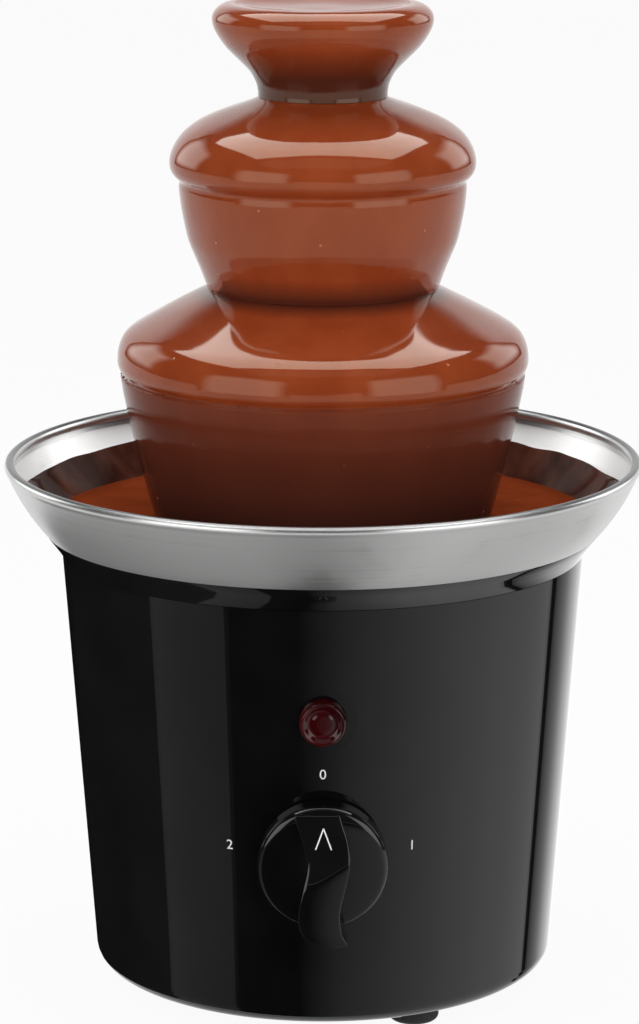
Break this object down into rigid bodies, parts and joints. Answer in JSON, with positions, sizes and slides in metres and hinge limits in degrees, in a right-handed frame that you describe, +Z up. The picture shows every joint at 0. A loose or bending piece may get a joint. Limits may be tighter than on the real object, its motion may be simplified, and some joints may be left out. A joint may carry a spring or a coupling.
{
  "type": "chocolate fountain",
  "caption": "Electric chocolate fountain: heated steel bowl on a tapered base with knob and lamp, and an auger tower of domes under a crown, coated in flowing chocolate.",
  "frame": {"origin": "on the tower's axis, on the plane that the feet stand on", "axes": "+Z up along the tower's axis, -Y towards the front with the knob and lamp, +X to the right seen from the front"},
  "size_m": [0.21, 0.21, 0.3271],
  "materials": {
    "gloss_black": "polished moulding",
    "matte_black": "fine moulded grain",
    "white_plastic": "natural moulding",
    "rubber": "matt",
    "red_silicone": "satin",
    "bowl_steel": "spun and brushed round the axis, polished rim",
    "tower_steel": "satin",
    "zinc_steel": "zinc plated",
    "element_steel": "heat darkened",
    "iron": "laminated",
    "aluminium": "mill",
    "brass": "turned",
    "chocolate": "wet, glossy",
    "red_lens": "polished, translucent red",
    "bulb_glass": "clear"
  },
  "bodies": {
    "base_unit": {"rubber_feet": "rubber", "base_plate": "matte_black", "base_screws": "zinc_steel", "housing": "gloss_black", "collar_ring": "gloss_black", "cord_gland": "matte_black", "terminal_block": "white_plastic", "bowl_gasket": "rubber", "bowl": "bowl_steel", "bowl_hub": "brass", "hub_nut": "brass", "shaft_seal": "red_silicone", "locating_studs": "tower_steel", "bowl_studs": "zinc_steel", "stud_nuts": "zinc_steel", "heat_spreader": "aluminium", "heating_element": "element_steel", "thermostat": "matte_black", "thermal_fuse": "white_plastic", "clamp_plate": "zinc_steel", "gearcase": "white_plastic", "gearcase_cover": "white_plastic", "gearcase_screws": "zinc_steel", "motor_can": "zinc_steel", "motor_end_cap": "matte_black", "motor_screws": "zinc_steel", "stator": "iron", "idler_pin": "zinc_steel", "shaft_bushes": "brass", "chocolate_pool": "chocolate", "switch_body": "matte_black", "switch_nut": "zinc_steel", "lamp_body": "matte_black", "lamp_nut": "white_plastic", "lamp_bulb": "bulb_glass", "lamp_lens": "red_lens"},
    "motor_rotor": {"rotor": "iron", "motor_pinion": "brass"},
    "idler": {"idler_gear": "white_plastic"},
    "auger_drive": {"output_gear": "white_plastic", "drive_shaft": "tower_steel", "drive_coupling": "white_plastic", "auger": "white_plastic"},
    "tube": {"tower_tube": "tower_steel"},
    "lower_dome": {"lower_tier": "tower_steel", "chocolate_lower": "chocolate"},
    "upper_dome": {"upper_tier": "tower_steel", "chocolate_upper": "chocolate"},
    "crown_cup": {"crown": "tower_steel", "chocolate_crown": "chocolate"},
    "control_knob": {"knob": "gloss_black", "switch_shaft": "zinc_steel"}
  },
  "joints": [
    {"name": "motor_spin", "type": "hinge", "parent": "base_unit", "child": "motor_rotor", "pos_m": [0.01169, 0.01478, 0.06], "axis": [0, 0, 1], "continuous": true},
    {"name": "idler_spin", "type": "hinge", "parent": "base_unit", "child": "idler", "pos_m": [0.0241, 0, 0.09], "axis": [0, 0, 1], "continuous": true},
    {"name": "auger_spin", "type": "hinge", "parent": "base_unit", "child": "auger_drive", "pos_m": [0, 0, 0.13], "axis": [0, 0, 1], "continuous": true},
    {"name": "tube_lift", "type": "slide", "parent": "base_unit", "child": "tube", "axis": [0, 0, 1], "range_m": [0, 0.19]},
    {"name": "lower_dome_lift", "type": "slide", "parent": "tube", "child": "lower_dome", "axis": [0, 0, 1], "range_m": [0, 0.1]},
    {"name": "upper_dome_lift", "type": "slide", "parent": "lower_dome", "child": "upper_dome", "axis": [0, 0, 1], "range_m": [0, 0.05]},
    {"name": "crown_lift", "type": "slide", "parent": "upper_dome", "child": "crown_cup", "axis": [0, 0, 1], "range_m": [0, 0.05]},
    {"name": "knob_turn", "type": "hinge", "parent": "base_unit", "child": "control_knob", "pos_m": [0, -0.0804, 0.0638], "axis": [0, -0.9974, -0.0724], "range_deg": [-90, 90]}
  ],
  "couplings": [
    {"joint": "idler_spin", "follows": "motor_spin", "ratio": -0.33333},
    {"joint": "auger_spin", "follows": "motor_spin", "ratio": 0.11111}
  ]
}
